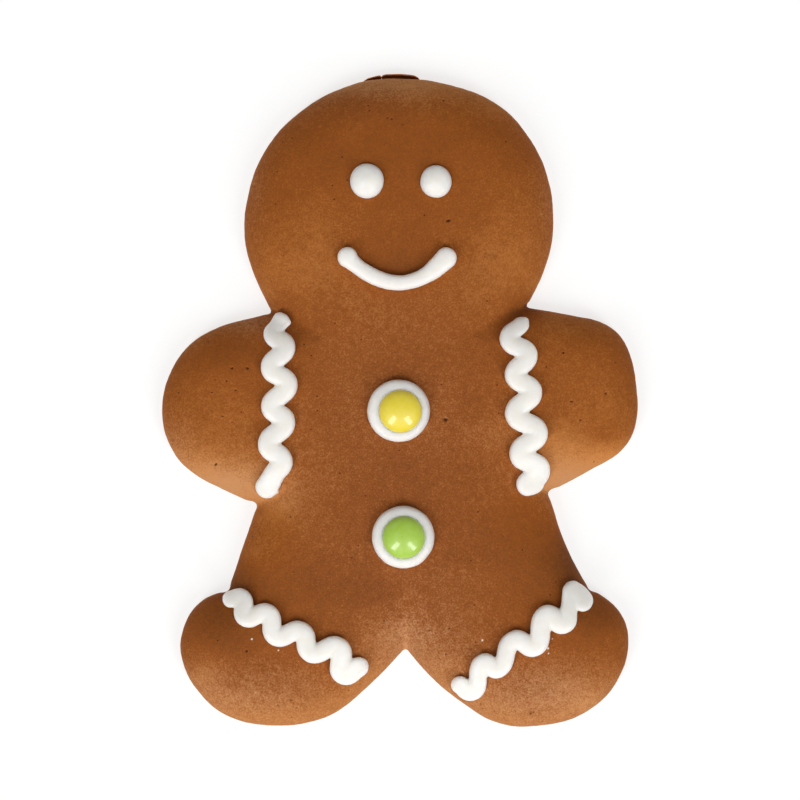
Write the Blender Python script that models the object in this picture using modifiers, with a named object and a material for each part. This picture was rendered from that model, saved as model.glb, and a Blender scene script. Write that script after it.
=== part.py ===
"""A gingerbread man: one puffed piece of soft gingerbread that lies on its back, with royal icing piped
on its front and two chocolate lentils pressed into discs of icing as buttons.

Metres, +Z up. The flat baked base lies on z = 0, the head points to +Y, and the origin is the middle of
the base's bounding box. Left and right are as seen from above: left is -X.
"""

import math

import bmesh
import bpy
import numpy as np
from mathutils import Matrix, Vector
from mathutils.bvhtree import BVHTree
from mathutils.geometry import delaunay_2d_cdt, interpolate_bezier

MM = 0.001

# ---- Dough ----------------------------------------------------------------------------------------------
BODY_THICKNESS = 15.4 * MM  # of the torso, base to top
WIDEST_AT = 2.6 * MM  # height above the base where the side bulges furthest
RIM_WIDTH = 18 * MM  # how far in from the outline the dough still rises
RIM_ROUNDNESS = 2.05  # exponent of the rim's section: 2 is an ellipse
TOP_RINGS = [d * MM for d in (0.3, 1.0, 2.2, 4.0, 6.4, 9.2, 12.4)]  # distances in from the outline
BASE_RINGS = [(0.5 * MM, 1.0 * MM), (1.7 * MM, 0)]  # the base's rounded edge: distance in, height
CURVE_STEPS = 3  # straight pieces between two outline points
CROWN_GRID = 6.4 * MM  # spacing of the points that carry the domed middle

# The outline in millimetres, anticlockwise. Each run starts in the notch where its limb begins.
OUTLINE = {
    "head": [
        (37.0, 27.0), (42.1, 37.7), (44.6, 49.4), (43.3, 64.0), (38.3, 75.6), (28.5, 86.0), (14.0, 91.9),
        (0.1, 93.4), (-12.6, 92.4), (-28.4, 84.4), (-39.2, 72.7), (-44.4, 59.5), (-45.5, 48.5),
        (-42.9, 37.2),
    ],
    "left arm": [
        (-37.4, 25.4), (-46.2, 23.2), (-55.2, 20.3), (-63.1, 14.4), (-67.9, 5.8), (-69.3, -3.6),
        (-66.8, -14.0), (-60.5, -21.3), (-51.0, -26.3),
    ],
    "left flank": [(-41.8, -30.5), (-44.1, -38.0), (-47.1, -46.8)],
    "left leg": [
        (-50.0, -55.2), (-57.6, -58.4), (-62.9, -65.6), (-63.7, -74.8), (-59.6, -84.0), (-50.8, -91.8),
        (-37.7, -94.9), (-24.0, -93.4), (-12.4, -86.5),
    ],
    "right leg": [
        (1.6, -71.8), (8.6, -80.2), (19.0, -88.9), (29.0, -94.2), (42.0, -94.6), (55.2, -90.4),
        (63.3, -81.8), (66.5, -69.5), (63.7, -60.8),
    ],
    "right flank": [(54.9, -54.7), (50.6, -47.4), (46.5, -37.4)],
    "right arm": [
        (43.3, -27.0), (55.2, -20.6), (65.4, -14.0), (69.2, -4.6), (68.8, 5.2), (66.0, 16.0),
        (59.6, 22.3), (49.0, 24.9),
    ],
}

# Broad swells of the top, in millimetres: (x, y, reach in x, reach in y, rise in the middle)
SWELLS = [
    (0, 50, 36, 36, 2.2),  # head
    (0, -18, 30, 40, 0.6),  # belly
    (-56, -3, 16, 20, -1.2),  # left arm
    (57, 0, 16, 20, -1.2),  # right arm
    (-36, -78, 22, 16, -0.6),  # left leg
    (40, -78, 22, 16, -0.6),  # right leg
]

# The torn skin at the top of the head, in millimetres: two flaps as (from x, to x, foremost y)
TORN_FLAPS = [(-10.6, -5.6, 94.5), (-5.8, 5.6, 95.0)]
FLAP_ROOT = 91.0 * MM  # the y where the flaps leave the dough
FLAP_HEIGHTS = (0.9 * MM, 4.6 * MM)  # underside and top of the flaps
FLAP_ROUNDING = 1.2 * MM  # of their front corners

# ---- Icing and candies ----------------------------------------------------------------------------------
SEAT_GAP = 0.3 * MM  # between dough and icing, and between icing and candy
BEAD_LIFT = 0.7 * MM  # how far a bead's axis lies above the dough
PATH_STEPS = 12  # straight pieces between two of a bead's knots
BEAD_STEP = 0.7 * MM  # spacing of the balls that a bead is swept from
BEAD_VOXEL = 0.55 * MM
BEAD_DETAIL = 0.05  # share of the swept bead's triangles that is kept

# Each zigzag is one squeeze of the bag. Its turning points in millimetres: (x, y, width of the bead)
ZIGZAGS = {
    "left arm icing": [
        (-34.3, 22.5, 4.6), (-36.7, 19.0, 5.4), (-32.9, 15.5, 5.8), (-37.2, 9.2, 5.8), (-32.4, 4.7, 6.0),
        (-37.0, -2.1, 6.0), (-33.1, -6.2, 6.1), (-37.9, -12.9, 6.2), (-33.9, -17.4, 6.2),
        (-38.6, -24.8, 6.8),
    ],
    "right arm icing": [
        (34.9, 21.7, 5.0), (31.3, 17.6, 5.5), (36.7, 13.0, 5.9), (33.0, 7.1, 5.9), (37.9, 2.4, 6.0),
        (33.2, -4.0, 6.2), (39.6, -9.4, 6.0), (34.5, -15.5, 6.3), (40.2, -20.1, 6.3), (36.9, -24.2, 7.0),
    ],
    "left leg icing": [
        (-48.9, -57.5, 4.9), (-45.4, -57.2, 5.3), (-44.8, -62.5, 5.3), (-37.9, -61.4, 5.4),
        (-35.8, -67.9, 5.6), (-28.3, -66.5, 5.6), (-25.7, -72.7, 5.7), (-17.7, -71.1, 5.8),
        (-16.1, -79.1, 6.2), (-12.0, -77.0, 6.0),
    ],
    "right leg icing": [
        (17.4, -82.3, 5.4), (20.6, -84.3, 5.4), (24.3, -75.4, 5.2), (27.7, -77.5, 5.4),
        (33.0, -68.9, 5.5), (38.6, -71.0, 5.7), (42.2, -61.9, 5.9), (47.1, -64.3, 6.0),
        (50.0, -55.2, 6.3), (53.0, -58.1, 6.6),
    ],
}

# The mouth in millimetres: (x, y, width), from its left end to its right end
SMILE = [
    (-15.1, 41.0, 5.8), (-12.6, 38.8, 5.0), (-9.0, 36.2, 4.7), (-4.6, 34.3, 4.6), (-0.5, 33.6, 4.4),
    (4.0, 34.3, 4.4), (7.9, 36.1, 4.9), (10.8, 38.4, 5.9), (13.2, 40.7, 6.3),
]
SMILE_LIFT = 0.3 * MM

# Each eye in millimetres: (x, y, width, length, height)
EYES = {"left eye": (-9.5, 62.9, 9.7, 10.1, 3.1), "right eye": (10.3, 62.8, 9.0, 9.4, 3.0)}
EYE_LIFT = 0.5 * MM

BUTTONS = {"upper button": (-0.2, -3.2), "lower button": (1.0, -39.7)}  # their middles, in millimetres
CANDY_RADIUS = 6.15 * MM
CANDY_HALF_THICKNESS = 2.9 * MM
CANDY_CENTRE = 4.2 * MM  # height of the candy's widest line above the dough
DISC_CREST = (7.1 * MM, 1.3 * MM)  # middle of the elliptic section of the disc's raised edge
DISC_EDGE = (1.95 * MM, 2.6 * MM)  # and its half width and half height
DISC_ROOT = -2.5 * MM  # how deep the disc reaches before it is fitted to the dough
SOCKET_SWEEP = (-90, -12, 6)  # the socket's section: its first and last angle in degrees, and its points
CREST_SWEEP = (108, -25, 8)  # the same for the raised edge
DISC_STEPS = 24  # round the disc
BALL_SEGMENTS = (20, 12)  # round and from pole to pole, of the balls that make beads and eyes
CANDY_SEGMENTS = (20, 10)


def new_collection(name):
    made = bpy.data.collections.new(name)
    bpy.context.scene.collection.children.link(made)
    return made


def new_material(name, colour, roughness):
    material = bpy.data.materials.new(name)
    material.use_nodes = True
    shader = material.node_tree.nodes["Principled BSDF"]
    shader.inputs["Base Color"].default_value = (*colour, 1)
    shader.inputs["Roughness"].default_value = roughness
    shader.inputs["Metallic"].default_value = 0
    return material


def new_object(name, bm, collection, material=None):
    mesh = bpy.data.meshes.new(name)
    bm.to_mesh(mesh)
    bm.free()
    made = bpy.data.objects.new(name, mesh)
    collection.objects.link(made)
    if material:
        mesh.materials.append(material)
    return made


def add_boolean(obj, other, operation):
    modifier = obj.modifiers.new(other.name, "BOOLEAN")
    modifier.object = other
    modifier.operation = operation


def freeze(obj):
    """Replaces the object's mesh with the one that its modifiers give."""
    graph = bpy.context.evaluated_depsgraph_get()
    mesh = bpy.data.meshes.new_from_object(obj.evaluated_get(graph))
    obj.modifiers.clear()
    obj.data = mesh


def smooth_line(knots, steps, closed=False):
    """A Bezier curve's points through the knots. Each knot is (x, y, whether it is a sharp corner)."""
    curve = bpy.data.curves.new("line", "CURVE")
    spline = curve.splines.new("BEZIER")
    spline.bezier_points.add(len(knots) - 1)
    spline.use_cyclic_u = closed
    for point, (x, y, is_corner) in zip(spline.bezier_points, knots):
        point.co = (x, y, 0)
        point.handle_left_type = point.handle_right_type = "VECTOR" if is_corner else "AUTO"
    found = list(spline.bezier_points)
    line = []
    for a, b in zip(found, found[1:] + found[:1] if closed else found[1:]):
        line += interpolate_bezier(a.co, a.handle_right, b.handle_left, b.co, steps + 1)[:-1]
    if not closed:
        line.append(found[-1].co)
    points = np.array([p[:2] for p in line])
    bpy.data.curves.remove(curve)
    return points


# ---- Dough ----------------------------------------------------------------------------------------------
def outline_points():
    knots = [(x * MM, y * MM, i == 0) for run in OUTLINE.values() for i, (x, y) in enumerate(run)]
    return smooth_line(knots, CURVE_STEPS, closed=True)


def distance_to(points, outline):
    """Distance of each point from the closed outline."""
    along = np.roll(outline, -1, axis=0) - outline
    offset = points[:, None, :] - outline[None, :, :]
    share = np.clip((offset * along).sum(axis=2) / (along**2).sum(axis=1), 0, 1)
    return np.linalg.norm(offset - share[:, :, None] * along, axis=2).min(axis=1)


def is_inside(points, outline):
    """True for each point whose line to the right crosses the closed outline an odd number of times."""
    ends = np.roll(outline, -1, axis=0)
    x, y = points[:, :1], points[:, 1:]
    spans = (outline[:, 1] > y) != (ends[:, 1] > y)
    rise = np.where(spans, ends[:, 1] - outline[:, 1], 1)
    crossing_x = outline[:, 0] + (y - outline[:, 1]) * (ends[:, 0] - outline[:, 0]) / rise
    return (spans & (x < crossing_x)).sum(axis=1) % 2 == 1


def top_height(x, y, inward):
    """Height of the top at (x, y), that far in from the outline: a rounded rim, then the swells."""
    full = BODY_THICKNESS - WIDEST_AT
    for swell in SWELLS:
        cx, cy, reach_x, reach_y, rise = (value * MM for value in swell)
        full += rise * math.exp(-(((x - cx) / reach_x) ** 2) - ((y - cy) / reach_y) ** 2)
    short = 1 - min(inward / RIM_WIDTH, 1)
    return WIDEST_AT + full * (1 - short**RIM_ROUNDNESS) ** (1 / RIM_ROUNDNESS)


def inset_rings(bm, face, rings):
    """Insets the face ring by ring. Each ring is a distance in from the outline and a height function."""
    reached = 0
    for inward, height in rings:
        bmesh.ops.inset_region(
            bm, faces=[face], thickness=inward - reached, use_boundary=True, use_even_offset=True
        )
        reached = inward
        for vert in face.verts:
            vert.co.z = height(vert.co.x, vert.co.y, inward)


def fill_crown(bm, face, outline):
    """Replaces the flat middle with triangles on a staggered grid that follows the swells."""
    ring = list(face.verts)
    rim = np.array([v.co[:2] for v in ring])
    low, high = rim.min(axis=0), rim.max(axis=0)
    rows = np.arange(low[1], high[1], CROWN_GRID * math.sqrt(3) / 2)
    columns = np.arange(low[0], high[0], CROWN_GRID)
    grid = np.array([(x + (i % 2) * CROWN_GRID / 2, y) for i, y in enumerate(rows) for x in columns])
    grid = grid[is_inside(grid, rim)]
    grid = grid[distance_to(grid, rim) > CROWN_GRID / 2]
    edges = [(i, (i + 1) % len(ring)) for i in range(len(ring))]
    flat = [Vector(p) for p in rim] + [Vector(p) for p in grid]
    triangles, origins = delaunay_2d_cdt(flat, edges, [], 1, 1e-7)[2:4]
    inward = distance_to(grid, outline)
    known = ring + [bm.verts.new((x, y, top_height(x, y, d))) for (x, y), d in zip(grid, inward)]
    bmesh.ops.delete(bm, geom=[face], context="FACES_ONLY")
    for triangle in triangles:
        bm.faces.new([known[origins[i][0]] for i in triangle])


def make_flap(name, flap, helpers):
    """One flap of torn skin: a thin block that reaches forwards out of the head's side."""
    left, right, front = (value * MM for value in flap)
    low, high = FLAP_HEIGHTS
    middle = ((left + right) / 2, (front + FLAP_ROOT) / 2, (low + high) / 2)
    size = (right - left, front - FLAP_ROOT, high - low)
    bm = bmesh.new()
    bmesh.ops.create_cube(bm, size=1, matrix=Matrix.LocRotScale(middle, None, size))
    front_edges = [edge for edge in bm.edges if all(v.co.y > middle[1] for v in edge.verts)]
    upright = [edge for edge in front_edges if abs(edge.verts[0].co.x - edge.verts[1].co.x) < FLAP_ROUNDING]
    bmesh.ops.bevel(
        bm, geom=upright, offset=FLAP_ROUNDING, segments=3, profile=0.5, affect="EDGES", material=-1
    )
    return new_object(name, bm, helpers)


def make_dough(collection, helpers, material):
    outline = outline_points()
    bm = bmesh.new()
    edge = [bm.verts.new((x, y, WIDEST_AT)) for x, y in outline]
    base = bm.faces.new(reversed(edge))
    inset_rings(bm, base, [(inward, lambda x, y, d, z=z: z) for inward, z in BASE_RINGS])
    top = bm.faces.new(edge)
    inset_rings(bm, top, [(inward, top_height) for inward in TOP_RINGS])
    fill_crown(bm, top, outline)
    bmesh.ops.recalc_face_normals(bm, faces=bm.faces)
    dough = new_object("gingerbread", bm, collection, material)
    for i, flap in enumerate(TORN_FLAPS):
        add_boolean(dough, make_flap(f"torn flap {i}", flap, helpers), "UNION")
    return dough


# ---- Icing and candies ----------------------------------------------------------------------------------
def make_seat(dough, helpers):
    """The dough's surface raised by the seat gap: whatever lies on the dough is cut to it."""
    seat = bpy.data.objects.new("seat", dough.data.copy())
    seat.data.transform(Matrix.Translation((0, 0, SEAT_GAP)))
    helpers.objects.link(seat)
    return seat


def height_at(tree, x, y):
    """Height of the dough at (x, y)."""
    return tree.ray_cast(Vector((x, y, 1)), Vector((0, 0, -1)))[0].z


def points_along(knots, step):
    """(x, y, width) in metres, a step apart along a smooth line through the knots."""
    x, y, widths = np.array(knots).T * MM
    line = smooth_line([(*place, False) for place in zip(x, y)], PATH_STEPS)
    lengths = np.concatenate([[0], np.cumsum(np.linalg.norm(np.diff(line, axis=0), axis=1))])
    at = np.linspace(0, lengths[-1], round(lengths[-1] / step) + 1)
    along = [np.interp(at, lengths, values) for values in line.T]
    return zip(*along, np.interp(at, lengths[::PATH_STEPS], widths))


def add_ball(bm, segments, matrix):
    bmesh.ops.create_uvsphere(bm, u_segments=segments[0], v_segments=segments[1], radius=1, matrix=matrix)


def make_bead(name, knots, lift, tree, collection, material, seat):
    """A piped bead: balls along a line, fused and seated on the dough, with their middles lifted off it."""
    bm = bmesh.new()
    for x, y, width in points_along(knots, BEAD_STEP):
        middle = Matrix.Translation((x, y, height_at(tree, x, y) + lift))
        add_ball(bm, BALL_SEGMENTS, middle @ Matrix.Diagonal((width / 2, width / 2, width / 2, 1)))
    icing = new_object(name, bm, collection, material)
    fuse = icing.modifiers.new("fuse", "REMESH")
    fuse.mode = "VOXEL"
    fuse.voxel_size = BEAD_VOXEL
    thin_out = icing.modifiers.new("thin out", "DECIMATE")
    thin_out.ratio = BEAD_DETAIL
    add_boolean(icing, seat, "DIFFERENCE")
    return icing


def make_eye(name, sizes, tree, collection, material, seat):
    x, y, width, length, height = (value * MM for value in sizes)
    bm = bmesh.new()
    add_ball(bm, BALL_SEGMENTS, Matrix.Diagonal((width / 2, length / 2, height - EYE_LIFT, 1)))
    eye = new_object(name, bm, collection, material)
    eye.location = (x, y, height_at(tree, x, y) + EYE_LIFT)
    add_boolean(eye, seat, "DIFFERENCE")
    return eye


def arc(middle, half_sizes, first, last, count):
    """Points (radius, height) on an ellipse, between two angles in degrees from the outward direction."""
    turns = [math.radians(first + (last - first) * i / (count - 1)) for i in range(count)]
    return [(middle[0] + half_sizes[0] * math.cos(t), middle[1] + half_sizes[1] * math.sin(t)) for t in turns]


def make_disc(name, place, collection, material, seat):
    """The icing that holds a candy. Its turned profile runs out of the socket and down the outer side."""
    socket_sizes = (CANDY_RADIUS + SEAT_GAP, CANDY_HALF_THICKNESS + SEAT_GAP)
    socket = arc((0, CANDY_CENTRE), socket_sizes, *SOCKET_SWEEP)
    crest = arc(DISC_CREST, DISC_EDGE, *CREST_SWEEP)
    profile = socket + crest + [(crest[-1][0], DISC_ROOT), (0, DISC_ROOT)]
    bm = bmesh.new()
    verts = [bm.verts.new((radius, 0, height)) for radius, height in profile]
    for a, b in zip(verts, verts[1:]):
        bm.edges.new((a, b))
    disc = new_object(name, bm, collection, material)
    turn = disc.modifiers.new("turn", "SCREW")
    turn.steps = turn.render_steps = DISC_STEPS
    turn.use_merge_vertices = True
    turn.merge_threshold = 0.00001
    turn.use_smooth_shade = False
    disc.location = place
    add_boolean(disc, seat, "DIFFERENCE")
    return disc


def make_candy(name, place, collection, material):
    bm = bmesh.new()
    add_ball(bm, CANDY_SEGMENTS, Matrix.Diagonal((CANDY_RADIUS, CANDY_RADIUS, CANDY_HALF_THICKNESS, 1)))
    candy = new_object(name, bm, collection, material)
    candy.location = (place[0], place[1], place[2] + CANDY_CENTRE)
    return candy


def main():
    for old in list(bpy.data.objects):
        bpy.data.objects.remove(old, do_unlink=True)
    parts = new_collection("gingerbread man")
    helpers = new_collection("helpers")
    helpers.hide_render = True
    crust = new_material("soft gingerbread", (0.30, 0.083, 0.018), 0.6)
    icing = new_material("royal icing", (0.88, 0.86, 0.82), 0.45)
    shells = {
        "upper button": new_material("yellow sugar shell", (0.84, 0.68, 0.08), 0.25),
        "lower button": new_material("green sugar shell", (0.42, 0.60, 0.09), 0.25),
    }

    dough = make_dough(parts, helpers, crust)
    freeze(dough)
    seat = make_seat(dough, helpers)
    tree = BVHTree.FromObject(dough, bpy.context.evaluated_depsgraph_get())
    for name, turns in ZIGZAGS.items():
        make_bead(name.replace(" ", "_"), turns, BEAD_LIFT, tree, parts, icing, seat)
    make_bead("smile", SMILE, SMILE_LIFT, tree, parts, icing, seat)
    for name, sizes in EYES.items():
        make_eye(name.replace(" ", "_"), sizes, tree, parts, icing, seat)
    for name, (x, y) in BUTTONS.items():
        place = (x * MM, y * MM, height_at(tree, x * MM, y * MM))
        make_disc(name.replace(" ", "_") + "_icing", place, parts, icing, seat)
        make_candy(name.replace(" ", "_") + "_candy", place, parts, shells[name])
    for helper in helpers.objects:
        helper.hide_render = True
        helper.display_type = "WIRE"


main()
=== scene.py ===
"""A gingerbread man: soft gingerbread baked flat on a tray, with royal icing piped on its front and two
chocolate lentils pressed into discs of icing as its buttons."""

import math

import bmesh
import bpy
import numpy as np
from mathutils import Matrix, Vector, noise
from mathutils.bvhtree import BVHTree
from mathutils.geometry import interpolate_bezier


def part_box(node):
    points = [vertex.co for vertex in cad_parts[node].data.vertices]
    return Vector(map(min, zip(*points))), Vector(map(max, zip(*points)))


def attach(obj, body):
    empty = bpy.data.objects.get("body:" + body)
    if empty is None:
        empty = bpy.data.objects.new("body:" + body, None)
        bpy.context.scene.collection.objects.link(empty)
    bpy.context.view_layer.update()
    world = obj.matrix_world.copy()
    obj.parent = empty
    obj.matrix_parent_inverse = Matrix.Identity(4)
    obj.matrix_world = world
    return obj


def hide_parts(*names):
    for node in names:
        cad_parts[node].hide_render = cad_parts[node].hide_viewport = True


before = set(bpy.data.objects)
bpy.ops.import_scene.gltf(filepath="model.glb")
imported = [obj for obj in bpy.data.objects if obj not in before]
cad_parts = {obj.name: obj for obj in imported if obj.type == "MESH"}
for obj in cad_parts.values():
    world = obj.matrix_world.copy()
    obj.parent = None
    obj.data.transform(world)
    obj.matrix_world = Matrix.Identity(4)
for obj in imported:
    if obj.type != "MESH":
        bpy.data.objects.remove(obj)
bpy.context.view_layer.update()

# ---- Dough ----------------------------------------------------------------------------------------------
# One piece of soft, spiced dough, cut out and baked on a flat tray. It puffed up in the oven, so its top is
# domed, its rim rolls down to the tray and its limbs pinch into creases where they meet the body.
MM = 0.001
DOUGH_CELL = 0.615 * MM  # the crust's mesh is this fine
BROW = 93.45 * MM  # foremost point of the head
BROW_RADIUS = 70 * MM
BROW_MARGIN = 0.35 * MM  # what reaches further forwards is torn skin
BROW_TUCK = 0.8 * MM
BASE_TOP = 0.06 * MM  # what lies lower is the flat base
CREASE_FOLD = -0.3  # radians; an edge that folds in by more is in a crease
CREASE_SHARPNESS = 0.9

# Creases pressed into the rim where two swellings meet: (from x, y, to x, y, half width, depth)
CREASES = [
    (37.3, 27.5, 32.9, 24.8, 0.75, 0.8),  # under the head, on its right
    (-37.2, 25.4, -33.2, 26.2, 0.9, 0.6),  # under the head, on its left
    (44.4, -26.6, 38.5, -28.5, 1.5, 0.5),  # under the right arm
    (-42.6, -30.4, -36.5, -31.0, 1.5, 0.4),  # under the left arm
    (-50.6, -55.6, -44.6, -54.6, 1.4, 0.5),  # over the left leg
    (55.4, -55.4, 49.5, -56.5, 1.4, 0.5),  # over the right leg
]

# Burst bubbles and nicks in the crust: (x, y, radius, depth, stretch, turn in degrees)
PITS = [
    (-48.4, 9.2, 0.30, 0.5, 1.0, 0),  # left arm
    (-44.0, 9.2, 0.26, 0.42, 1.8, -45),
    (-53.3, 5.9, 0.20, 0.3, 1.0, 0),
    (-42.5, 5.0, 0.18, 0.2, 1.0, 0),
    (-47.4, 2.9, 0.22, 0.35, 1.9, 0),
    (-49.3, -3.6, 0.18, 0.2, 1.0, 0),
    (-51.2, -4.6, 0.22, 0.35, 1.8, -30),
    (-48.3, -6.3, 0.20, 0.28, 1.0, 0),
    (-53.3, -18.7, 0.30, 0.48, 1.6, 40),
    (47.1, 13.7, 0.30, 0.48, 1.0, 0),  # right arm
    (41.0, 11.1, 0.20, 0.2, 1.0, 0),
    (49.4, -0.4, 0.28, 0.4, 1.6, -20),
    (59.4, 1.9, 0.28, 0.4, 1.4, 60),
    (67.3, 1.9, 0.20, 0.2, 1.0, 0),
    (52.0, -5.7, 0.25, 0.35, 1.6, 45),
    (-9.2, 84.9, 0.21, 0.32, 1.0, 0),  # head
    (-3.6, 81.3, 0.24, 0.35, 1.2, 0),
    (-2.4, 81.0, 0.24, 0.35, 1.2, 0),
    (0.8, 79.3, 0.22, 0.32, 1.0, 0),
    (12.5, 86.6, 0.26, 0.32, 1.3, -30),
    (-33.8, 74.6, 0.22, 0.3, 1.0, 0),
    (36.5, 69.1, 0.20, 0.3, 1.0, 0),
    (22.5, 58.6, 0.20, 0.2, 1.0, 0),
    (-35.9, 56.6, 0.20, 0.3, 1.0, 0),
    (-29.0, 54.8, 0.20, 0.2, 1.0, 0),
    (13.9, 51.6, 0.41, 0.48, 1.6, 20),
    (37.8, 49.2, 0.22, 0.3, 1.0, 0),
    (-33.6, 41.8, 0.18, 0.3, 1.6, 90),
    (26.7, 41.8, 1.00, 0.18, 1.2, 0),
    (-32.2, 37.3, 0.20, 0.3, 1.0, 0),
    (13.1, -5.6, 0.50, 0.56, 1.3, -10),  # belly
    (-9.9, -27.4, 0.22, 0.3, 1.5, 60),
    (-37.7, -44.0, 0.20, 0.25, 1.0, 0),
    (-44.2, -72.3, 0.35, 0.48, 1.0, 0),  # left leg
    (-39.8, -76.0, 0.20, 0.2, 1.0, 0),
    (-35.2, -88.1, 0.22, 0.28, 1.3, -20),
    (-29.9, -88.9, 0.22, 0.28, 1.0, 0),
    (-14.7, -83.9, 0.20, 0.2, 1.0, 0),
    (37.8, -90.5, 0.38, 0.28, 1.5, 70),  # right leg
    (38.7, -90.2, 0.25, 0.25, 1.5, 90),
    (42.5, -84.8, 0.25, 0.2, 1.5, 0),
    (29.6, -83.0, 0.20, 0.2, 1.5, -45),
]

# Crumbs of icing pressed into the crust: (x, y, radius)
CRUMBS = [
    (-42.7, -68.9, 0.28),
    (-35.0, -72.1, 0.20),
    (23.7, -69.2, 0.26),
    (42.6, -71.5, 0.30),
    (43.9, -68.8, 0.16),
    (42.8, -73.0, 0.18),
]


def merged_copy(node):
    """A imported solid's mesh, which comes as loose triangles, with its doubles merged."""
    bm = bmesh.new()
    bm.from_mesh(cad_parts[node].data)
    bmesh.ops.remove_doubles(bm, verts=bm.verts, dist=0.002 * MM)
    return bm


def new_piece(name, bm):
    mesh = bpy.data.meshes.new(name)
    bm.to_mesh(mesh)
    bm.free()
    piece = bpy.data.objects.new(name, mesh)
    bpy.context.scene.collection.objects.link(piece)
    return piece


def settle(piece):
    """Replaces the piece's mesh with the one that its modifiers give, shaded smooth."""
    graph = bpy.context.evaluated_depsgraph_get()
    shaped = bpy.data.meshes.new_from_object(piece.evaluated_get(graph))
    piece.modifiers.clear()
    piece.data = shaped
    shaped.shade_smooth()


def finish_piece(piece, material, slot, *nodes):
    piece.data.materials.clear()
    piece.data.materials.append(material)
    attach(piece, "root")
    if nodes:
        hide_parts(*nodes)


def points_of(mesh):
    """Points and normals of a mesh as two arrays."""
    points = np.empty(len(mesh.vertices) * 3)
    mesh.vertices.foreach_get("co", points)
    normals = np.empty(len(mesh.vertices) * 3)
    mesh.vertex_normals.foreach_get("vector", normals)
    return points.reshape(-1, 3), normals.reshape(-1, 3)


def move_points(mesh, points):
    mesh.vertices.foreach_set("co", points.ravel())
    mesh.update()


def ramp(values, low, high):
    """0 up to low, 1 from high, smooth between."""
    share = np.clip((values - low) / (high - low), 0, 1)
    return share * share * (3 - 2 * share)


def rough(points, size, shift=0):
    """Smooth noise from about -1 to 1, with lumps of that size."""
    start = Vector((shift, 2 * shift, -shift))
    return np.array([noise.noise(Vector(p) / size + start) for p in points])


def spot(points, x, y, reach_x, reach_y):
    """1 at (x, y) in millimetres, and less around it as far as the two reaches."""
    off = ((points[:, 0] / MM - x) / reach_x) ** 2 + ((points[:, 1] / MM - y) / reach_y) ** 2
    return np.exp(-off)


def paint(mesh, name, values):
    """Keeps a value at each point for the material to read."""
    mesh.attributes.new(name, "FLOAT", "POINT").data.foreach_set("value", values)


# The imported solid's plain flaps of torn skin are tucked behind the brow. The torn skin below shows instead.
bm = merged_copy("gingerbread")
for vert in bm.verts:
    brow = BROW - vert.co.x**2 / (2 * BROW_RADIUS)
    if vert.co.y > brow + BROW_MARGIN:
        vert.co.y = brow - BROW_TUCK
bmesh.ops.join_triangles(
    bm, faces=bm.faces, angle_face_threshold=math.radians(25), angle_shape_threshold=math.radians(60)
)
# The creases where the limbs meet stay sharp as the rest is rounded.
keep_sharp = bm.edges.layers.float.new("crease_edge")
for edge in bm.edges:
    if len(edge.link_faces) == 2 and edge.calc_face_angle_signed() < CREASE_FOLD:
        edge[keep_sharp] = CREASE_SHARPNESS
dough = new_piece("gingerbread_crust", bm)
rise = dough.modifiers.new("rise", "SUBSURF")
rise.levels = rise.render_levels = 2
knead = dough.modifiers.new("knead", "REMESH")
knead.mode = "VOXEL"
knead.voxel_size = DOUGH_CELL
relax = dough.modifiers.new("relax", "SMOOTH")
relax.factor = 0.5
relax.iterations = 4
settle(dough)

bm = bmesh.new()
bm.from_mesh(dough.data)
underside = [face for face in bm.faces if all(vert.co.z < BASE_TOP for vert in face.verts)]
for face in bmesh.ops.dissolve_faces(bm, faces=underside, use_verts=True)["region"]:
    face.smooth = False  # the base is as flat as the tray
# The mesh is finer round each pit and crumb.
near_pits = set()
tops = [vert for vert in bm.verts if vert.normal.z > 0.1]
for x, y, radius, *_ in PITS + CRUMBS:
    middle = Vector((x, y)) * MM
    reach = (1.6 * radius + 0.6) * MM
    near_pits |= {edge for vert in tops if (vert.co.xy - middle).length < reach for edge in vert.link_edges}
bmesh.ops.subdivide_edges(bm, edges=list(near_pits), cuts=2, use_grid_fill=True)
bm.to_mesh(dough.data)
bm.free()

# How far each point moves out of the skin, in millimetres. The foot of the rim stays as it is.
points, normals = points_of(dough.data)
free = ramp(points[:, 2], 0.3 * MM, 3 * MM)
lumps = 0.30 * rough(points, 17 * MM) + 0.13 * rough(points, 6.5 * MM, 5) + 0.03 * rough(points, 2.4 * MM, 9)
lumps += 0.05 * rough(points, 1.3 * MM, 12) * ramp(1 - normals[:, 2], 0.4, 0.9)  # the rim is rougher
for x0, y0, x1, y1, half_width, depth in CREASES:
    start = np.array((x0, y0)) * MM
    along = np.array((x1, y1)) * MM - start
    share = np.clip((points[:, :2] - start) @ along / (along @ along), 0, 1)
    off = np.linalg.norm(points[:, :2] - start - share[:, None] * along, axis=1)
    lumps -= depth * np.exp(-((off / (half_width * MM)) ** 2)) * (1 - share) ** 0.7
pitted = np.zeros(len(points))
for x, y, radius, depth, stretch, turn in PITS:
    turned = Matrix.Rotation(-math.radians(turn), 2)
    off = (points[:, :2] - np.array((x, y)) * MM) @ np.array(turned).T / (radius * MM)
    off = np.linalg.norm(off / (stretch, 1), axis=1)
    hollow = np.exp(-(off**4)) * (normals[:, 2] > 0.1)
    lumps -= depth * hollow
    # The pits also get painted shade: the deeper the pit, the darker its colour is drawn.
    pitted = np.maximum(pitted, hollow * min(1, depth / 0.4) ** 2)
sugary = np.zeros(len(points))
for x, y, radius in CRUMBS:
    off = np.linalg.norm(points[:, :2] - np.array((x, y)) * MM, axis=1) / (radius * MM)
    crumb = np.exp(-(off**4)) * (normals[:, 2] > 0.1)
    lumps += 0.5 * radius * crumb
    sugary = np.maximum(sugary, crumb)
points += normals * (lumps * free * MM)[:, None]
move_points(dough.data, points)
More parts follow.
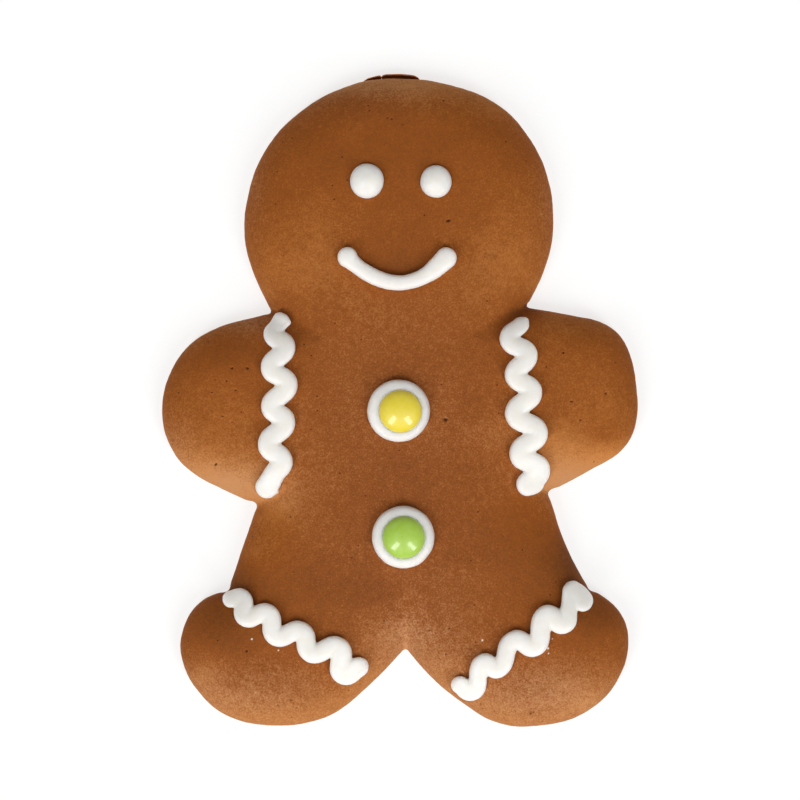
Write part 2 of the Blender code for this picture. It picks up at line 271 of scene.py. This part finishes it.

# How dark the skin is drawn: 0 darkest, 0.5 usual, 1 pale. The rim is paler all round, partly a paler bake,
# partly painted sheen; the slopes facing the softboxes and the arms' undersides are paler still, as painted
# sheen.
# Paler and darker patches in millimetres, some of them painted light as marked: (x, y, reach in x, reach in
# y, change)
BAKED_AND_PAINTED_LIGHT_PATCHES = [
    (0, 93, 36, 5, 0.24),  # crown
    (-14, 84, 9, 5, -0.08),
    (27, 84, 9, 5, 0.08),
    (0, 68, 30, 13, -0.13),  # forehead
    (0, 40, 12, 7, -0.18),  # over the smile
    # The temple patches are painted sheen: the head's side rims drawn paler.
    (-43, 66, 4, 9, 0.14),  # temples
    (43, 60, 4, 12, 0.08),
    (-27, 40, 15, 16, 0.14),  # cheeks
    (28, 38, 13, 15, 0.16),
    # The neck patches are painted shade, darkening the creases under the head.
    (36, 26, 5, 4, -0.4),  # neck
    (-35, 27, 5, 4, -0.2),
    (-27, 22, 8, 8, -0.1),  # shoulders
    (25, 18, 8, 12, -0.12),
    (-49, 12, 13, 8, -0.12),  # left arm
    (-43, 23, 7, 5, 0.06),
    (-58, -8, 14, 10, 0.1),
    # This patch and the next are painted sheen: the undersides of the arms, which face the softboxes, drawn
    # paler.
    (-50, -23, 20, 9, 0.32),
    (47, -23, 11, 9, 0.34),  # right arm
    (46, -12, 8, 6, 0.26),
    (62, -18, 8, 5, 0.12),
    (58, -10, 6, 4, -0.17),
    (55, -5, 10, 12, 0.1),
    (-36, -31, 8, 7, 0.22),  # armpits
    (38, -30, 6, 6, -0.08),
    (25, -11, 8, 6, 0.1),  # belly
    (0, 11, 18, 7, -0.08),
    (0, -24, 26, 15, -0.1),
    (-6, -58, 14, 7, -0.14),
    (-25, -52, 20, 9, -0.15),
    (32, -45, 18, 11, -0.15),
    # Of the flank patches, the first and the last are painted shade, darkening the corners where the legs
    # meet the body.
    (50, -48, 7, 9, -0.4),  # flanks
    (-41, -45, 6, 8, 0.14),
    (-47, -53, 7, 5, -0.25),
    (1.5, -66, 13, 9, 0.12),  # crotch
    (-50, -62, 14, 9, -0.3),  # tops of the legs
    (54, -60, 13, 9, -0.3),
    (-42, -83, 26, 7, 0.12),  # lower halves of the legs
    (-56, -80, 8, 8, 0.08),
    (-50, -71, 10, 4, -0.08),
    (36, -82, 30, 8, 0.13),
    (12, -75, 8, 7, 0.08),
    (50, -86, 12, 8, 0.1),
]
BASE_BROWNED = 0.4  # the base baked evenly on the tray
points, normals = points_of(dough.data)
# Painted sheen: paler on the slopes that face the softboxes (-y). Paler on the steep rim and on slopes facing
# +y: partly a paler bake, partly painted sheen.
browning_and_painted_light = 0.5 + 0.3 * ramp(-normals[:, 1], 0.05, 0.85) + 0.2 * ramp(normals[:, 1], 0.3, 0.95)
browning_and_painted_light += 0.22 * ramp(1 - normals[:, 2], 0.6, 1) + 0.08 * rough(points, 14 * MM, 3)
for x, y, reach_x, reach_y, change in BAKED_AND_PAINTED_LIGHT_PATCHES:
    browning_and_painted_light += change * spot(points, x, y, reach_x, reach_y)
underneath = 1 - ramp(points[:, 2], 0.1 * MM, 0.5 * MM)
browning_and_painted_light += (BASE_BROWNED - browning_and_painted_light) * underneath
paint(dough.data, "browning_and_painted_light", browning_and_painted_light)
paint(dough.data, "pitted", pitted)
paint(dough.data, "sugary", sugary)

# The skin cracked as finely as leather low on the arms: (x, y, reach in x, reach in y) in millimetres
LEATHERY_PATCHES = [(-57, -18, 12, 9), (50, -16, 10, 7), (60, -12, 8, 8), (-60, 2, 7, 12)]
paint(dough.data, "leathery", np.max([spot(points, *patch) for patch in LEATHERY_PATCHES], axis=0))

# Flour stayed on the flat chest and belly and on the outer edges, and greys the brown there. On the head's
# side rims and under the arms this greying is also painted sheen. A share below 0 takes it away: (x, y, reach
# in x, reach in y, share), in millimetres
FLOUR_AND_SHEEN_PATCHES = [
    (0, -10, 32, 42, 0.7),
    (0, -52, 36, 16, 0.45),
    (-40, -38, 8, 9, -0.5),
    (38, -33, 8, 9, -0.5),
    (-42, -83, 26, 12, 0.7),
    (38, -84, 26, 12, 0.8),
    (6, -69, 20, 11, 0.6),
    (-66, -12, 8, 8, 0.4),
    (-8, 89, 22, 7, 0.5),
    # The next two patches are painted sheen along the head's side rims.
    (-43, 63, 4, 12, 0.5),
    (43, 58, 4, 12, 0.4),
    (-43, 23, 8, 6, 0.5),
    # The next two patches are flour and painted sheen on the undersides of the arms.
    (-50, -25, 18, 8, 0.6),
    (47, -25, 14, 8, 0.6),
]
flour_and_sheen = np.zeros(len(points))
for x, y, reach_x, reach_y, share in FLOUR_AND_SHEEN_PATCHES:
    flour_and_sheen += share * spot(points, x, y, reach_x, reach_y)
paint(dough.data, "flour_and_sheen", np.clip(flour_and_sheen, 0, 1) * (1 - underneath))


def linear(colour):
    """An sRGB hex colour as linear red, green, blue and alpha."""
    channels = [int(colour[i : i + 2], 16) / 255 for i in (1, 3, 5)]
    return (*[c / 12.92 if c <= 0.04045 else ((c + 0.055) / 1.055) ** 2.4 for c in channels], 1)


def new_material(name):
    material = bpy.data.materials.new(name)
    material.use_nodes = True
    return material, material.node_tree, material.node_tree.nodes["Principled BSDF"]


def add(tree, kind, inputs={}, **settings):
    """Adds a node. Each input is a value, or the socket that it is linked from."""
    node = tree.nodes.new("ShaderNode" + kind)
    for name, value in settings.items():
        setattr(node, name, value)
    for name, value in inputs.items():
        if isinstance(value, bpy.types.NodeSocket):
            tree.links.new(value, node.inputs[name])
        else:
            node.inputs[name].default_value = value
    return node


def rescale(tree, value, low, high, at_low=0, at_high=1):
    """The value taken from low and high to at_low and at_high, and held there beyond them."""
    limits = {"From Min": low, "From Max": high, "To Min": at_low, "To Max": at_high}
    return add(tree, "MapRange", {"Value": value, **limits}).outputs[0]


def mix(tree, share, first, second):
    """The first colour at share 0 and the second at 1."""
    return add(tree, "MixRGB", {0: share, 1: first, 2: second}).outputs[0]


def work_out(tree, operation, *values):
    return add(tree, "Math", dict(enumerate(values)), operation=operation).outputs[0]


# Baked gingerbread: a matt brown skin, mottled from the flour, with a very fine grain and pinholes, and
# painted sheen and painted shade in places.
crust, tree, shader = new_material("baked_gingerbread")
shader.inputs["Roughness"].default_value = 0.72
shader.inputs["Specular IOR Level"].default_value = 0.08
place = add(tree, "TexCoord").outputs["Object"]
# Of these, the first holds the browning with painted sheen and painted shade, the second marks painted shade
# in the pits, and the last holds flour with painted sheen on some rims.
browning_and_painted_light, pitted, leathery, sugary, flour_and_sheen = (
    add(tree, "Attribute", attribute_name=name).outputs["Fac"]
    for name in ("browning_and_painted_light", "pitted", "leathery", "sugary", "flour_and_sheen")
)

# The grain of the crust, coarser where flour lies and where sheen is painted: (size, detail, strength)
GRAINS = [(7 * MM, 2, 0.03), (1.8 * MM, 3, 0.09), (0.5 * MM, 2, 0.18)]
coarser = work_out(tree, "MULTIPLY_ADD", flour_and_sheen, 0.7, 1)
tone = browning_and_painted_light
for size, detail, strength in GRAINS:
    pattern = {"Vector": place, "Scale": 1 / size, "Detail": detail, "Roughness": 0.7}
    grain = add(tree, "TexNoise", pattern).outputs[0]
    change = rescale(tree, grain, 0.25, 0.75, -strength, strength)
    tone = work_out(tree, "MULTIPLY_ADD", change, coarser, tone)

# Brown from dark to pale, then a dust of flour, then painted shade in the pits and pinholes, and the white of
# icing crumbs
usual = mix(tree, flour_and_sheen, linear("#94511D"), linear("#925227"))
pale = mix(tree, flour_and_sheen, linear("#C17B3C"), linear("#C39066"))
colour = mix(tree, rescale(tree, tone, 0, 0.5), linear("#6F3F1B"), usual)
colour = mix(tree, rescale(tree, tone, 0.5, 1), colour, pale)
specks = add(tree, "TexNoise", {"Vector": place, "Scale": 1 / (0.42 * MM), "Detail": 1}).outputs[0]
dust = work_out(tree, "MULTIPLY", rescale(tree, specks, 0.58, 0.75, 0, 0.18), flour_and_sheen)
colour = mix(tree, dust, colour, linear("#CFA070"))
# Pinholes and pits are drawn near black: painted shade.
pinholes = add(tree, "TexVoronoi", {"Vector": place, "Scale": 1 / (4.6 * MM)}).outputs["Distance"]
pinhole = rescale(tree, pinholes, 0.035, 0.06, 1, 0)
hollow = work_out(tree, "MAXIMUM", pinhole, pitted)
colour = mix(tree, work_out(tree, "MULTIPLY", hollow, 0.85), colour, linear("#331A0A"))
colour = mix(tree, sugary, colour, linear("#F2EDE2"))
tree.links.new(colour, shader.inputs["Base Color"])

# The finest grain, the fine cracks and the pinholes also dent the skin.
slanted = {"Vector": place, "Rotation": (0, 0, math.radians(45)), "Scale": (1, 2.6, 1)}
slanted = add(tree, "Mapping", slanted).outputs[0]
cracks = {"Vector": slanted, "Scale": 1 / (1.9 * MM)}
cracks = add(tree, "TexVoronoi", cracks, feature="DISTANCE_TO_EDGE").outputs["Distance"]
crack = work_out(tree, "MULTIPLY", rescale(tree, cracks, 0, 0.09, -0.5, 0), leathery)
relief = work_out(tree, "SUBTRACT", work_out(tree, "ADD", grain, crack), pinhole)
bump = add(tree, "Bump", {"Height": relief, "Strength": 0.6, "Distance": 0.14 * MM})
tree.links.new(bump.outputs[0], shader.inputs["Normal"])
finish_piece(dough, crust, "gingerbread", "gingerbread")

# ---- Torn skin ------------------------------------------------------------------------------------------
# At the top of the head the skin tore as the cookie was pulled from its neighbour on the tray. It stands out
# from the side as a thin lip in two flaps, with a dark gap behind it.
#
# The foremost line of each flap in millimetres: (x, y)
LIPS = [
    [(-10.6, 92.7), (-9.2, 93.5), (-8.0, 93.85), (-6.8, 94.15), (-5.9, 94.35), (-5.55, 93.9)],
    [(-5.35, 93.9), (-4.9, 94.4), (-4.2, 94.65), (0.2, 94.75), (3.9, 94.4), (4.95, 93.9), (5.6, 93.3)],
]
LIP_ROOT = 1.8 * MM  # how far behind the rim the lip starts
LIP_THICKNESS = 0.42 * MM
# Its section from root to edge: (share of the way out, height in millimetres)
LIP_SECTION = [(0.0, 1.1), (0.5, 0.7), (0.85, 0.8), (1.0, 1.7), (1.01, 3.0), (0.98, 4.2)]

for number, front in enumerate(LIPS, 1):
    bm = bmesh.new()
    bmesh.ops.create_grid(bm, x_segments=40, y_segments=len(LIP_SECTION) - 1, size=0.5)
    for vert in bm.verts:
        along = (vert.co.x + 0.5) * (len(front) - 1)
        x, y = (np.interp(along, range(len(front)), values) * MM for values in zip(*front))
        share, z = LIP_SECTION[round((vert.co.y + 0.5) * (len(LIP_SECTION) - 1))]
        to_end = along if number == 1 else len(front) - 1 - along
        z = 1.1 + (z - 1.1) * min(1, 0.45 + 0.8 * to_end)  # the flaps narrow to their outer ends
        root = BROW - x**2 / (2 * BROW_RADIUS) - LIP_ROOT
        z += 0.25 * noise.noise(Vector((x / (1.1 * MM), share, number)))
        ragged = 0.06 * MM * noise.noise(Vector((x / (0.8 * MM), z, 3)))
        vert.co = (x, root + (y - root) * share + ragged, z * MM)
    bmesh.ops.recalc_face_normals(bm, faces=bm.faces)
    lip = new_piece(f"torn_skin_{number}", bm)
    skin = lip.modifiers.new("skin", "SOLIDIFY")
    skin.thickness = LIP_THICKNESS
    skin.offset = 0
    soften = lip.modifiers.new("soften", "SUBSURF")
    soften.levels = soften.render_levels = 2
    settle(lip)
    points, normals = points_of(lip.data)
    # The lip is drawn paler than the crust and palest along its top edge: painted light, as it stands in the
    # head's shadow.
    browning_and_painted_light = 0.75 + 0.35 * ramp(points[:, 2], 2.4 * MM, 4.0 * MM) + 0.08 * rough(points, 1.5 * MM)
    paint(lip.data, "browning_and_painted_light", browning_and_painted_light)
    finish_piece(lip, crust, "gingerbread")

# ---- Icing ----------------------------------------------------------------------------------------------
# Stiff royal icing, squeezed from a bag with a round nozzle in one zigzag over each limb and one curve for
# the smile. The beads keep their round backs, fuse where a turn touches the last one, and dry satin white.
BEAD_STEP = 0.4 * MM  # between the points of a stroke
BEAD_CELL = 0.26 * MM  # a bead's mesh is this fine
BEAD_LIFT = 1.1 * MM  # a round bead stands a little off the crust, with its foot drawn in
BEAD_RISE = 3.6 * MM  # a bead slumped towards this height as it set,
FLATNESS = 1.3  # with a flatter back and steeper sides than a round one
ROOT_DEPTH = 0.3 * MM  # how far the icing sinks into the crust's pores
BED_CELL = 0.6 * MM  # the crust's height is sampled this finely
BED_PASSES = 40  # how stiffly a bead spans the dips under it
SAG = 1.0 * MM  # how far its foot hangs down where the crust falls away beside it

# The strokes of each bead, as turning points in millimetres: (x, y, width). After its zigzag a bead may have
# short strokes, where the nozzle turned sharply or drew off.
BEADS = {
    "left_arm_icing": [
        [
            (-34.7, 23.3, 4.2), (-35.7, 21.3, 4.4), (-36.8, 19.0, 5.3), (-32.9, 15.5, 5.8),
            (-37.2, 9.2, 5.8), (-32.4, 4.7, 6.0), (-37.0, -2.1, 6.0), (-33.1, -6.2, 6.1),
            (-37.9, -12.9, 6.2), (-33.9, -17.4, 6.2), (-36.1, -21.2, 6.3), (-38.4, -25.1, 6.7),
        ],
        [(-34.7, 23.3, 4.2), (-33.6, 23.3, 3.4), (-32.4, 22.4, 2.1)],
        [(-32.4, 22.3, 2.0), (-35.4, 20.9, 4.6)],
        [(-38.4, -25.1, 6.2), (-35.5, -26.5, 1.2)],
    ],
    "right_arm_icing": [
        [
            (34.8, 21.6, 4.9), (31.3, 17.6, 5.5), (36.7, 13.0, 5.9), (33.0, 7.1, 5.9),
            (37.9, 2.4, 6.0), (33.2, -4.0, 6.2), (39.6, -9.4, 6.0), (34.5, -15.5, 6.3),
            (40.2, -20.1, 6.3), (36.9, -24.2, 7.0),
        ],
        [(34.8, 21.6, 4.9), (35.8, 22.6, 2.8)],
        [(39.6, -20.8, 6.4), (38.0, -23.7, 7.4)],
    ],
    "left_leg_icing": [
        [
            (-48.9, -57.5, 4.9), (-45.4, -57.2, 5.3), (-44.8, -62.5, 5.3), (-37.9, -61.4, 5.4),
            (-35.8, -67.9, 5.6), (-28.3, -66.5, 5.6), (-25.7, -72.7, 5.7), (-17.7, -71.1, 5.8),
            (-16.1, -79.1, 6.2), (-12.0, -77.0, 6.0),
        ],
    ],
    "right_leg_icing": [
        [
            (17.4, -82.3, 5.4), (20.6, -84.3, 5.4), (24.3, -75.4, 5.2), (27.7, -77.5, 5.4),
            (33.0, -68.9, 5.5), (38.6, -71.0, 5.7), (42.2, -61.9, 5.9), (47.1, -64.3, 6.0),
            (48.7, -59.8, 5.2), (49.8, -55.3, 6.2),
        ],
        [(49.8, -55.3, 6.2), (51.4, -56.4, 6.4), (52.7, -57.9, 6.3)],
    ],
    "smile": [
        [
            (-15.1, 41.0, 5.9), (-13.4, 39.3, 4.8), (-9.0, 36.2, 4.7), (-4.6, 34.3, 4.6), (-0.5, 33.6, 4.4),
            (4.0, 34.3, 4.4), (7.9, 36.1, 4.9), (10.8, 38.4, 5.7), (13.2, 40.7, 6.3),
        ],
    ],
}

dough_tree = BVHTree.FromObject(dough, bpy.context.evaluated_depsgraph_get())
low, high = (np.array(corner)[:2] + margin * MM for corner, margin in zip(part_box("gingerbread"), (-4, 4)))
columns, rows = (np.arange(start, end, BED_CELL) for start, end in zip(low, high))


def crust_height(x, y):
    """Height of the crust at (x, y), or None off the cookie, by looking straight down from 30 mm."""
    found = dough_tree.ray_cast(Vector((x, y, 30 * MM)), Vector((0, 0, -1)), 29.5 * MM)[0]
    return found.z if found else None


def spread(values):
    """Smooths a grid of values, pass after pass."""
    for _ in range(BED_PASSES):
        for axis in (0, 1):
            values = (np.roll(values, 1, axis) + 2 * values + np.roll(values, -1, axis)) / 4
    return values


# The crust's height over the whole cookie, and the same smoothed out: the bed that a stiff bead lies on
crust_field = np.array([[crust_height(x, y) or 0 for x in columns] for y in rows])
bed_field = spread(crust_field) / np.maximum(spread((crust_field > 0).astype(float)), 1e-6)
crust_field = np.where(crust_field > 0, crust_field, bed_field)


def height_in(field, points):
    """The field's value at each point, between its grid's values."""
    across = (points[:, :2] - (columns[0], rows[0])) / BED_CELL
    i, j = np.clip(across.astype(int), 0, (len(columns) - 2, len(rows) - 2)).T
    u, v = np.clip(across.T - (i, j), 0, 1)
    left = field[j, i] * (1 - v) + field[j + 1, i] * v
    return left * (1 - u) + (field[j, i + 1] * (1 - v) + field[j + 1, i + 1] * v) * u


def points_along(knots, step):
    """(x, y, width) in metres, a step apart on a smooth curve through the knots."""
    curve = bpy.data.curves.new("route", "CURVE")
    spline = curve.splines.new("BEZIER")
    spline.bezier_points.add(len(knots) - 1)
    for point, (x, y, width) in zip(spline.bezier_points, knots):
        point.co = (x * MM, y * MM, width * MM)
        point.handle_left_type = point.handle_right_type = "AUTO"
    found = spline.bezier_points
    route = []
    for a, b in zip(found, found[1:]):
        route += interpolate_bezier(a.co, a.handle_right, b.handle_left, b.co, 25)[:-1]
    route = np.array(route + [found[-1].co])
    bpy.data.curves.remove(curve)
    lengths = np.concatenate([[0], np.cumsum(np.linalg.norm(np.diff(route[:, :2], axis=0), axis=1))])
    at = np.linspace(0, lengths[-1], round(lengths[-1] / step) + 1)
    return list(zip(*[np.interp(at, lengths, values) for values in route.T]))


def squeeze(name, strokes):
    """A round rod along each stroke, laid flat, with a ball on both its ends."""
    curve = bpy.data.curves.new(name, "CURVE")
    curve.dimensions = "3D"
    curve.bevel_depth = 1
    curve.bevel_resolution = 6
    for knots in strokes:
        route = points_along(knots, BEAD_STEP)
        spline = curve.splines.new("POLY")
        spline.points.add(len(route) - 1)
        for point, (x, y, width) in zip(spline.points, route):
            point.co = (x, y, BEAD_LIFT, 1)
            point.radius = width / 2
    rod = bpy.data.objects.new(name, curve)
    bm = bmesh.new()
    bm.from_mesh(rod.to_mesh())
    rod.to_mesh_clear()
    for spline in curve.splines:
        for point in (spline.points[0], spline.points[-1]):
            end = Matrix.Translation(point.co.xyz)
            bmesh.ops.create_uvsphere(bm, u_segments=32, v_segments=16, radius=point.radius, matrix=end)
    bpy.data.objects.remove(rod)
    return bm


def slump(points):
    """Flattens the back of a round bead."""
    squash = np.tanh(points[:, 2] / BEAD_RISE * FLATNESS) / math.tanh(FLATNESS) * BEAD_RISE
    points[:, 2] = np.where(points[:, 2] > 0, squash, points[:, 2])
    return points


def lay(points):
    """Moves icing from a flat board to the cookie. Its foot follows the crust, its back the smoother bed."""
    rise = np.maximum(points[:, 2], -ROOT_DEPTH)
    skin, bed = height_in(crust_field, points), height_in(bed_field, points)
    skin = bed - SAG * np.tanh((bed - skin) / SAG)
    points[:, 2] = rise + skin + (bed - skin) * ramp(rise, -0.2 * MM, 1.6 * MM)
    return points


# Royal icing: sugar and egg white, dried to a smooth satin skin that lets a little light through.
icing, tree, shader = new_material("royal_icing")
shader.inputs["Roughness"].default_value = 0.42
shader.inputs["Specular IOR Level"].default_value = 0.35
shader.inputs["Subsurface Weight"].default_value = 1
shader.inputs["Subsurface Radius"].default_value = (1, 0.95, 0.85)
shader.inputs["Subsurface Scale"].default_value = 4 * MM
place = add(tree, "TexCoord").outputs["Object"]
sugar = add(tree, "TexNoise", {"Vector": place, "Scale": 1 / (2.6 * MM), "Detail": 3}).outputs[0]
colour = mix(tree, rescale(tree, sugar, 0.35, 0.65), linear("#F2EEE6"), linear("#F6F3ED"))
tree.links.new(colour, shader.inputs["Base Color"])
pores = add(tree, "TexNoise", {"Vector": place, "Scale": 1 / (0.5 * MM), "Detail": 2})
bump = add(tree, "Bump", {"Height": pores.outputs[0], "Strength": 0.12, "Distance": 0.05 * MM})
tree.links.new(bump.outputs[0], shader.inputs["Normal"])

for name, strokes in BEADS.items():
    bead = new_piece(name + "_bead", squeeze(name + "_rod", strokes))
    fuse = bead.modifiers.new("fuse", "REMESH")
    fuse.mode = "VOXEL"
    fuse.voxel_size = BEAD_CELL
    settling = bead.modifiers.new("settling", "SMOOTH")
    settling.factor = 0.5
    settling.iterations = 6
    settle(bead)
    points, normals = points_of(bead.data)
    swell = 0.10 * rough(points, 3.4 * MM, 2) + 0.04 * rough(points, 1.3 * MM, 6)
    move_points(bead.data, lay(slump(points + normals * (swell * MM)[:, None])))
    finish_piece(bead, icing, "icing", name)

# The eyes are two drops of the same icing, each with a faint peak where the nozzle lifted straight off:
# (x, y, width, length, height) in millimetres
EYES = {"left_eye": (-9.5, 62.9, 9.7, 10.1, 3.4), "right_eye": (10.3, 62.8, 9.0, 9.4, 3.3)}
for name, sizes in EYES.items():
    x, y, width, length, rise = (value * MM for value in sizes)
    bm = bmesh.new()
    middle = Matrix.Translation((x, y, 0.5 * MM))
    size = Matrix.Diagonal((width / 2, length / 2, rise - 0.5 * MM, 1))
    bmesh.ops.create_uvsphere(bm, u_segments=96, v_segments=48, radius=1, matrix=middle @ size)
    eye = new_piece(name + "_drop", bm)
    eye.data.shade_smooth()
    points, normals = points_of(eye.data)
    swell = 0.14 * rough(points, 4 * MM, 11) + 0.03 * rough(points, 1.3 * MM, 6)
    points += normals * (swell * MM)[:, None]
    peak = (x - 0.8 * MM, y - 0.2 * MM)
    off = np.linalg.norm(points[:, :2] - peak, axis=1) / MM
    points[:, 2] += 0.18 * MM * np.exp(-((off / 1.3) ** 2)) * (normals[:, 2] > 0)
    move_points(eye.data, lay(points))
    finish_piece(eye, icing, "icing", name)

# ---- Buttons --------------------------------------------------------------------------------------------
# Each button is a chocolate lentil pressed into a disc of icing while it was soft, so that the icing rose
# in a rounded ring and crept a little way up the lentil.
#
# (x, y) of the ring and (x, y) of the lentil in it, in millimetres
BUTTONS = {"upper_button": (-0.4, -3.1, 0.1, -3.2), "lower_button": (0.9, -39.4, 1.05, -39.4)}
LENTIL_RADIUS = 6.15 * MM
LENTIL_HALF = 3.2 * MM  # half of its thickness
LENTIL_RISE = 3.9 * MM  # its middle is this far over the crust
# Half of the ring's section in millimetres: (radius, height), from the socket over the crest to the foot
RING_SECTION = [
    (0.0, 0.2), (3.0, 0.6), (5.0, 1.6), (5.9, 2.8), (5.85, 3.7), (6.1, 4.1), (6.8, 4.15), (7.7, 3.95),
    (8.5, 3.5), (8.95, 2.6), (9.05, 1.2), (8.95, -0.4), (8.0, -1.2),
]


def shell_material(name, colour, speck_colour):
    """A polished sugar shell over chocolate, with a few pale specks where the colour coat is thin."""
    shell, tree, shader = new_material(name)
    shader.inputs["Roughness"].default_value = 0.52
    shader.inputs["Specular IOR Level"].default_value = 1
    shader.inputs["Coat Weight"].default_value = 0.8
    shader.inputs["Coat Roughness"].default_value = 0.13
    place = add(tree, "TexCoord").outputs["Object"]
    patches = add(tree, "TexNoise", {"Vector": place, "Scale": 1 / (1.6 * MM), "Detail": 3}).outputs[0]
    mixed = mix(tree, rescale(tree, patches, 0.35, 0.7, 0, 0.14), linear(colour), linear(speck_colour))
    specks = add(tree, "TexVoronoi", {"Vector": place, "Scale": 1 / (1.5 * MM)}).outputs["Distance"]
    mixed = mix(tree, rescale(tree, specks, 0.05, 0.12, 0.4, 0), mixed, linear(speck_colour))
    tree.links.new(mixed, shader.inputs["Base Color"])
    dimples = add(tree, "TexNoise", {"Vector": place, "Scale": 1 / (1.1 * MM), "Detail": 1})
    bump = add(tree, "Bump", {"Height": dimples.outputs[0], "Strength": 0.1, "Distance": 0.03 * MM})
    tree.links.new(bump.outputs[0], shader.inputs["Normal"])
    return shell


SHELLS = {
    "upper_button": (shell_material("yellow_sugar_shell", "#EED80D", "#F8EE98"), "yellow_shell"),
    "lower_button": (shell_material("green_sugar_shell", "#A1CB28", "#D6EA9C"), "green_shell"),
}
for name, (x, y, lentil_x, lentil_y) in BUTTONS.items():
    bm = bmesh.new()
    verts = [bm.verts.new((radius * MM, 0, height * MM)) for radius, height in RING_SECTION]
    edges = [bm.edges.new(pair) for pair in zip(verts, verts[1:])]
    bmesh.ops.spin(
        bm, geom=verts + edges, cent=(0, 0, 0), axis=(0, 0, 1), angle=math.tau, steps=48, use_merge=True
    )
    bmesh.ops.remove_doubles(bm, verts=bm.verts, dist=0.001 * MM)
    bmesh.ops.holes_fill(bm, edges=bm.edges, sides=0)
    bmesh.ops.recalc_face_normals(bm, faces=bm.faces)
    bmesh.ops.translate(bm, verts=bm.verts, vec=(x * MM, y * MM, 0))
    ring = new_piece(name + "_ring", bm)
    soften = ring.modifiers.new("soften", "SUBSURF")
    soften.levels = soften.render_levels = 2
    settle(ring)
    points, normals = points_of(ring.data)
    off_centre = np.array((lentil_x - x, lentil_y - y, 0)) * MM  # the lentil went in a little to one side
    radius = np.linalg.norm(points[:, :2] - (x * MM, y * MM), axis=1)
    points += off_centre * (1 - ramp(radius, 6.6 * MM, 8.8 * MM))[:, None]
    swell = 0.12 * rough(points, 3.6 * MM, 4) + 0.04 * rough(points, 1.5 * MM, 8)
    move_points(ring.data, lay(points + normals * (swell * MM)[:, None]))
    finish_piece(ring, icing, "icing", name + "_icing")

    bm = bmesh.new()
    base = height_in(bed_field, np.array([(x, y)]) * MM)[0]
    middle = Matrix.Translation((lentil_x * MM, lentil_y * MM, base + LENTIL_RISE))
    size = Matrix.Diagonal((LENTIL_RADIUS, LENTIL_RADIUS, LENTIL_HALF, 1))
    bmesh.ops.create_uvsphere(bm, u_segments=96, v_segments=48, radius=1, matrix=middle @ size)
    lentil = new_piece(name + "_lentil", bm)
    lentil.data.shade_smooth()
    material, slot = SHELLS[name]
    finish_piece(lentil, material, slot, name + "_candy")

# ---- Floor, light and camera ----------------------------------------------------------------------------
# A white table that glows a little, so that it stays white round the cookie, two tall softboxes on either
# side of its feet, soft light from all round, and a camera straight above.
TABLE_GLOW = 0.74
ROOM_LIGHT = 0.295
SOFTBOX_WIDTH = 0.7
SOFTBOX_LENGTH = 2.1
SOFTBOX_WATTS = 42.5
SOFTBOX_DISTANCE = 2.9
CAMERA_HEIGHT = 1.1
CAMERA_LENS = 169.5  # millimetres, on a 36 mm sensor

bm = bmesh.new()
bmesh.ops.create_grid(bm, x_segments=1, y_segments=1, size=3)
floor = new_piece("floor", bm)
table, tree, shader = new_material("white_table")
shader.inputs["Base Color"].default_value = (0.3, 0.3, 0.3, 1)
shader.inputs["Roughness"].default_value = 0.9
shader.inputs["Specular IOR Level"].default_value = 0
shader.inputs["Emission Color"].default_value = (1, 1, 1, 1)
shader.inputs["Emission Strength"].default_value = TABLE_GLOW
floor.data.materials.append(table)

world = bpy.data.worlds.new("studio")
bpy.context.scene.world = world
world.use_nodes = True
room = world.node_tree.nodes["Background"]
room.inputs["Color"].default_value = (1, 0.985, 0.96, 1)
room.inputs["Strength"].default_value = ROOM_LIGHT
for side in (-1, 1):
    lamp = bpy.data.lights.new(f"softbox_{side}", "AREA")
    lamp.shape = "RECTANGLE"
    lamp.size = SOFTBOX_WIDTH
    lamp.size_y = SOFTBOX_LENGTH
    lamp.energy = SOFTBOX_WATTS
    softbox = bpy.data.objects.new(f"softbox_{side}", lamp)
    softbox.location = Vector((0.451 * side, -0.519, 0.727)) * SOFTBOX_DISTANCE
    softbox.rotation_euler = softbox.location.to_track_quat("Z", "Y").to_euler()
    bpy.context.scene.collection.objects.link(softbox)

camera = bpy.data.cameras.new("camera")
camera.sensor_width = 36
camera.lens = CAMERA_LENS
eye_point = bpy.data.objects.new("camera", camera)
eye_point.location = (0, 0, CAMERA_HEIGHT)
bpy.context.scene.collection.objects.link(eye_point)
bpy.context.scene.camera = eye_point
bpy.context.scene.view_settings.view_transform = "Standard"
